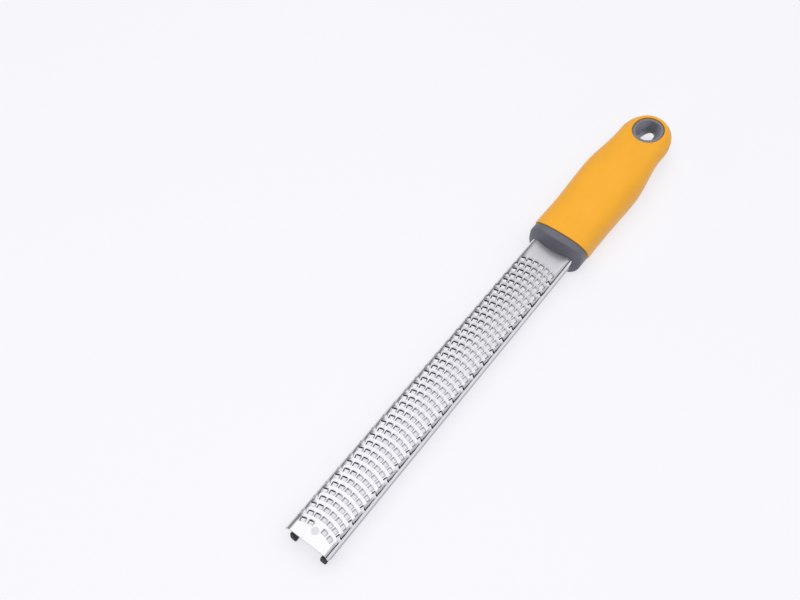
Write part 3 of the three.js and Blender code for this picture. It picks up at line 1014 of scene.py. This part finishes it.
@dataclass
class Grip:
    """The soft sleeve: rings of the handle's form, drawn open to an oval at the eye on both skins."""

    form: HandleForm
    columns: int = 128
    body_rows: int = 64
    eye_rows: int = 28
    end_rows: int = 16
    eye_columns: int = 22
    wall_rows: int = 6
    edge_radius: float = 0.5
    edge_steps: int = 4
    lip_drop: float = 0.35
    sharp_angle: float = 50.0

    def stations(self) -> tuple[Array, Array]:
        """The rows' y and how far each is drawn in: round at the seam, even to the eye, dense at the end."""
        form = self.form
        along, drawn = rounded_edge(self.edge_radius, self.edge_steps)
        rounded = form.seam + form.fit_gap + along
        eye_start = form.eye_y - form.eye_half_length - form.fit_gap
        eye_stop = form.eye_y + form.eye_half_length + form.fit_gap
        body = np.linspace(rounded[-1], eye_start, self.body_rows + 1)[1:-1]
        eye = np.linspace(eye_start, eye_stop, self.eye_rows + 1)
        swing = np.linspace(0.0, np.pi / 2, self.end_rows + 1)[1:-1]
        end = eye_stop + (form.end - eye_stop) * np.sin(swing)
        y = np.concatenate([rounded, body, eye, end])
        inset = np.zeros(len(y))
        inset[: len(drawn)] = drawn
        return y, inset

    def surface(self) -> Surface:
        """Bends the grid to the form.

        The block of cells over the eye is left out. Round it each point moves along its ray from the eye's
        middle, so that the block's square edge lands on the oval, and the move fades out at twice the block.
        On top the skin eases into the rim's flat.

        Returns:
            The sleeve's closed surface.
        """
        form = self.form
        y_rows, inset = self.stations()
        angle = full_turn(self.columns)
        middle, half = form.heights(y_rows)
        x, z = form.ring(angle, form.half_width(y_rows) - inset, middle + half - inset, middle - half + inset)
        y = y_rows[:, None] + 0 * x

        first_eye = len(y_rows) - self.end_rows - self.eye_rows
        half_rows = self.eye_rows / 2
        half_columns = self.eye_columns // 2
        row = (np.arange(len(y_rows))[:, None] - first_eye - half_rows) / half_rows
        inside = np.zeros(x.shape, bool)
        rims = []
        quarter = self.columns // 4
        for face, centre in ((Face.TOP, quarter), (Face.UNDER, 3 * quarter)):
            column = -face.value * (np.arange(self.columns) - centre) / half_columns + 0 * row
            reach = np.maximum(np.abs(column), np.abs(row))
            ray_x, ray_y = column / np.maximum(reach, TINY), row / np.maximum(reach, TINY)
            oval = form.eye_power
            spread = (np.abs(ray_x) ** oval + np.abs(ray_y) ** oval) ** (1 / oval)
            target_x = (form.eye_half_width + form.fit_gap) * ray_x / spread
            target_y = form.eye_y + (form.eye_half_length + form.fit_gap) * ray_y / spread
            edge_y = form.eye_y + (form.eye_half_length + form.fit_gap) * ray_y
            edge_angle = np.pi / 2 * face.value - face.value * ray_x * half_columns * 2 * np.pi / self.columns
            power = form.top_power if face is Face.TOP else form.under_power
            edge_x = form.half_width(edge_y) * bulged(np.cos(edge_angle), power)
            near = (np.abs(column) < quarter / half_columns) & (reach >= 1 - TINY) & (reach < 2)
            fade = np.where(near, 1 - eased(reach - 1), 0.0)
            x = x + fade * (target_x - edge_x)
            y = y + fade * (target_y - edge_y)
            lip = np.where(near, np.clip(1 - (reach - 1) * half_columns, 0.0, 1.0), 0.0) * self.lip_drop
            level = form.height(x, y, face)
            if face is Face.TOP:
                level = level + (1 - eased((reach - 1) / form.eye_apron)) * (form.rim_plane(y) - level)
            z = np.where(near, level - face.value * lip, z)
            inside |= reach < 1 - TINY
            rims.append(self.rim(first_eye, centre, face))
        lean = form.seam_lean * (1 - eased((y_rows - form.seam) / (form.neck - form.seam)))
        y = y + lean[:, None] * (form.collar_top - z)
        skin = Surface.tube(np.stack([x, y, z], -1))
        dropped = inside.ravel()[skin.quads].any(1)
        top, under = (skin.points[rim] for rim in rims)
        wall = Surface.grid(top + blend_shares(self.wall_rows - 1) * (under - top), ring=True)
        return Surface.joined([skin.without_quads(dropped), wall]).welded()

    def rim(self, first_row: int, centre: int, face: Face) -> Array:
        """The point numbers round the eye's block, walked from the same corner of the plan on both skins."""
        counts = [self.eye_columns, self.eye_rows] * 2
        along = np.repeat([0, 1, 0, -1], counts)
        across = face.value * np.repeat([-1, 0, 1, 0], counts)
        row = first_row + np.cumsum(along) - along
        column = centre + face.value * (self.eye_columns // 2) + np.cumsum(across) - across
        return row * self.columns + column

    def build(self, rubber: bpy.types.Material) -> None:
        """Makes the grip and dresses it in its rubber."""
        piece = self.surface().to_object("soft_grip", self.sharp_angle)
        dress(piece, rubber, "grip")


@dataclass
class HandleCore:
    """The slate moulding: a collar round the blade in front of the grip, and a funnel that lines the eye."""

    form: HandleForm
    front: float = 208.2
    front_bow: float = 0.0105
    front_dome: float = 1.5
    face_start: float = 0.08
    face_rows: int = 12
    nose_radius: float = 1.0
    nose_steps: int = 8
    back_radius: float = 0.3
    back_steps: int = 3
    columns: int = 128
    slot_half_width: float = 4.0
    slot_half_length: float = 8.4
    slot_top: float = 15.9
    slot_bottom: float = 10.9
    under_half_width: float = 5.2
    under_half_length: float = 10.8
    under_inset: float = 0.2
    slope_steps: int = 13
    slope_bend: float = 0.25
    sharp_angle: float = 40.0
    lip: Pairs = (
        (0.0, 2.2), (0.0, 1.2), (0.3, 0.8), (0.9, 0.52), (1.5, 0.42), (1.85, 0.55), (2.05, 0.95))

    def collar(self) -> Surface:
        """Carries the section back from a domed front, bowed in plan, round its edge to a leaning seam.

        Returns:
            The collar's closed surface.
        """
        form = self.form
        deepest = (form.collar_top + form.sink) / 2
        rise = np.linspace(self.face_start, 1.0, self.face_rows)[:-1]
        face_inset = deepest + rise * (self.nose_radius - deepest)
        face_y = self.front - self.front_dome * (1 - rise**2)
        nose_along, nose_inset = rounded_edge(self.nose_radius, self.nose_steps)
        back_inset, back_short = rounded_edge(self.back_radius, self.back_steps)
        y = np.concatenate([face_y, self.front + nose_along, form.seam - back_short])
        inset = np.concatenate([face_inset, nose_inset, back_inset])
        at_seam = np.arange(len(y)) >= len(y) - len(back_inset)
        angle = full_turn(self.columns)
        x, z = form.ring(angle, form.collar_half_width - inset, form.collar_top - inset, inset - form.sink)
        back = np.where(at_seam[:, None], form.seam_lean * (form.collar_top - z), self.front_bow * x**2)
        return Surface.tube(np.stack([x, y[:, None] + back, z], -1))

    def lining(self) -> Surface:
        """Carries a funnel's profile round the eye: up outside, over the lip, down to a slot and out again.

        Returns:
            The lining's closed surface, its lip and its foot following the grip's two skins.
        """
        form = self.form
        angle = full_turn(self.columns)

        def mouth_ring(inset: float, drop: float) -> Array:
            """A ring of the lip, drawn in from the eye's edge and dropped under its flat."""
            x, y = form.eye(angle, form.eye_half_width - inset, form.eye_half_length - inset)
            return np.stack([x, y, form.rim_plane(y) - drop], -1)

        def slot_ring(height: float) -> Array:
            """A level ring of the slot."""
            x, y = form.eye(angle, self.slot_half_width, self.slot_half_length)
            return np.stack([x, y, np.full(x.shape, height)], -1)

        def under_ring(half_width: float, half_length: float) -> Array:
            """A ring just inside the grip's lower skin."""
            x, y = form.eye(angle, half_width, half_length)
            return np.stack([x, y, form.height(x, y, Face.UNDER) + self.under_inset], -1)

        lip = np.stack([mouth_ring(inset, drop) for inset, drop in self.lip])
        throat, waist = slot_ring(self.slot_top), slot_ring(self.slot_bottom)
        foot = under_ring(self.under_half_width, self.under_half_length)
        outer_foot = under_ring(form.eye_half_width, form.eye_half_length)
        share = blend_shares(self.slope_steps)[1:-1]
        straight = (1 - self.slope_bend) * share
        slope_in = straight + self.slope_bend * np.sin(share * np.pi / 2)
        slope_down = straight + self.slope_bend * (1 - np.cos(share * np.pi / 2))
        slope = lip[-1] + (throat - lip[-1]) * np.concatenate([slope_in, slope_in, slope_down], 2)
        flare = waist + (foot - waist) * np.concatenate([share**2, share**2, share], 2)
        rows = [outer_foot[None], lip, slope, np.stack([throat, waist]), flare, foot[None]]
        return Surface.grid(np.concatenate(rows), ring=True, loop=True).outward()

    def build(self, grained: bpy.types.Material, smooth: bpy.types.Material) -> None:
        """Makes the collar and the lining and dresses them.

        Args:
            grained: the moulding's finish on the collar.
            smooth: its finish in the eye, smoother and painted lighter for the light that the eye's inside
                catches.
        """
        pieces = (("collar", self.collar(), grained), ("eye_lining", self.lining(), smooth))
        for name, surface, finish in pieces:
            dress(surface.to_object(name, self.sharp_angle), finish, "handle_core")


@dataclass
class Studio:
    """A pale table top, a large soft light above, a room bright overhead and dim in front, and the camera.

    The room's stops are pairs of a place and a brightness: by height on its right, on its left and in front,
    and from left to right in front.
    """

    floor_colour: Colour = (0.905, 0.9, 0.945)
    floor_tone: float = 0.99
    floor_half: float = 3.0
    floor_points: int = 9
    floor_gap: float = 0.1
    floor_mottling: Place = (3.0, 3.0, 3.0)
    floor_rough: float = 0.75
    floor_gloss: float = 0.15
    backdrop_colour: Colour = (0.93, 0.935, 0.972)
    backdrop_share: float = 0.7
    light_place: Place = (0.06, -0.32, 1.0)
    light_size: tuple[float, float] = (1.24, 1.52)
    light_power: float = 6.1
    light_colour: Colour = (1.0, 0.995, 0.99)
    room_strength: float = 1.38
    right_room: Pairs = ((0.0, 0.022), (0.32, 0.022), (0.42, 0.48), (0.79, 0.58), (0.87, 0.9), (0.93, 1.0))
    left_room: Pairs = ((0.0, 0.225), (0.55, 0.225), (0.74, 0.48), (0.79, 0.58), (0.87, 0.9), (0.93, 1.0))
    front_up: Pairs = ((0.0, 1.0), (0.42, 1.0), (0.54, 0.15), (1.0, 0.1))
    front_across: Pairs = ((0.0, 0.6), (0.37, 0.52), (0.47, 0.03), (0.68, 0.025), (0.78, 0.5), (1.0, 0.55))
    side_span: tuple[float, float] = (-0.5, 0.5)
    front_span: tuple[float, float] = (-0.3, -0.75)
    camera_place: Place = (0.12289, -0.25953, 0.463)
    camera_forward: Place = (-0.31782, 0.42762, -0.84625)
    camera_roll: float = 0.0178
    camera_lens: float = 45.135
    camera_sensor: float = 36.0
    camera_near: float = 0.01

    def floor(self) -> None:
        """Lays the table top just under the soles."""
        span = np.linspace(-self.floor_half, self.floor_half, self.floor_points) / MM
        x, y = np.meshgrid(span, span)
        level = np.full(x.shape, -self.floor_gap)
        table = Surface.grid(np.stack([x, y, level], -1)).to_object("table_top", sharp_angle=30.0)
        nodes = Finish("pale_table")
        mottling = nodes.noise(self.floor_mottling, detail=2.0)
        darker = tuple(self.floor_tone * part for part in self.floor_colour)
        nodes.fill(nodes.shader, {
            "Base Color": nodes.toned(mottling, darker, self.floor_colour),
            "Roughness": self.floor_rough,
            "Specular IOR Level": self.floor_gloss,
        })
        self.backdrop(nodes)
        table.data.materials.append(nodes.material)

    def backdrop(self, nodes: Finish) -> None:
        """Lets part of the table glow to the camera, to gloss and to glass. The rest takes shadows."""
        rays = nodes.add("LightPath", {}).outputs
        seen = nodes.calculate("MAXIMUM", rays["Is Camera Ray"], rays["Is Glossy Ray"])
        seen = nodes.calculate("MAXIMUM", seen, rays["Is Transmission Ray"])
        share = nodes.calculate("MULTIPLY", seen, self.backdrop_share)
        glow = nodes.add("Emission", {"Color": (*self.backdrop_colour, 1.0)}).outputs["Emission"]
        both = nodes.add("MixShader", {"Fac": share, 1: nodes.shader.outputs["BSDF"], 2: glow})
        nodes.fill(nodes.tree.nodes["Material Output"], {"Surface": both.outputs["Shader"]})

    def lamp(self) -> None:
        """Hangs the soft light level over the grater. Gloss shows the room's ceiling instead."""
        light = bpy.data.lights.new("soft_light", "AREA")
        light.shape = "RECTANGLE"
        light.size, light.size_y = self.light_size
        light.energy = self.light_power
        light.color = self.light_colour
        made = bpy.data.objects.new("soft_light", light)
        made.location = self.light_place
        made.visible_glossy = False
        bpy.context.scene.collection.objects.link(made)

    def world(self) -> None:
        """Sets the room's light by height on its left and right, and by height and side in front."""
        world = bpy.data.worlds.new("room")
        world.use_nodes = True
        nodes = Nodes(world.node_tree, "Generated")
        x, y, z = (nodes.axis(letter) for letter in "XYZ")
        left, right = nodes.greys(z, self.left_room), nodes.greys(z, self.right_room)
        walls = nodes.mixed(nodes.spread(x, *self.side_span), left, right)
        across = nodes.greys(nodes.spread(x, -1.0, 1.0), self.front_across)
        front = nodes.mixed(1.0, nodes.greys(z, self.front_up), across, "MULTIPLY")
        room = nodes.mixed(nodes.spread(y, *self.front_span), walls, front)
        nodes.fill(nodes.tree.nodes["Background"], {"Color": room, "Strength": self.room_strength})
        bpy.context.scene.world = world

    def camera(self) -> None:
        """Sets the camera from its place, the way it looks and its roll."""
        data = bpy.data.cameras.new("camera")
        data.lens = self.camera_lens
        data.sensor_width = self.camera_sensor
        data.sensor_fit = "HORIZONTAL"
        data.clip_start = self.camera_near
        made = bpy.data.objects.new("camera", data)
        aim = Vector(self.camera_forward).to_track_quat("-Z", "Y").to_matrix()
        turned = aim @ Matrix.Rotation(self.camera_roll, 3, "Z")
        made.matrix_world = Matrix.Translation(self.camera_place) @ turned.to_4x4()
        bpy.context.scene.collection.objects.link(made)
        bpy.context.scene.camera = made

    def build(self) -> None:
        """Makes the whole setting."""
        self.floor()
        self.lamp()
        self.world()
        self.camera()
        bpy.context.scene.view_settings.view_transform = "Standard"


def main() -> None:
    """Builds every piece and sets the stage."""
    logging.basicConfig(level=logging.INFO, format="%(name)s: %(message)s")
    form = HandleForm()
    rubber = FOOT_RUBBER.material()
    Blade().build(STEEL.material())
    for side in Side:
        TipFoot(side).build(rubber)
    HandleCore(form).build(SLATE.material(), SMOOTH_SLATE_PAINTED_LIGHTER.material())
    Grip(form).build(SOFT_GRIP.material())
    Studio().build()


if __name__ == "__main__":
    main()
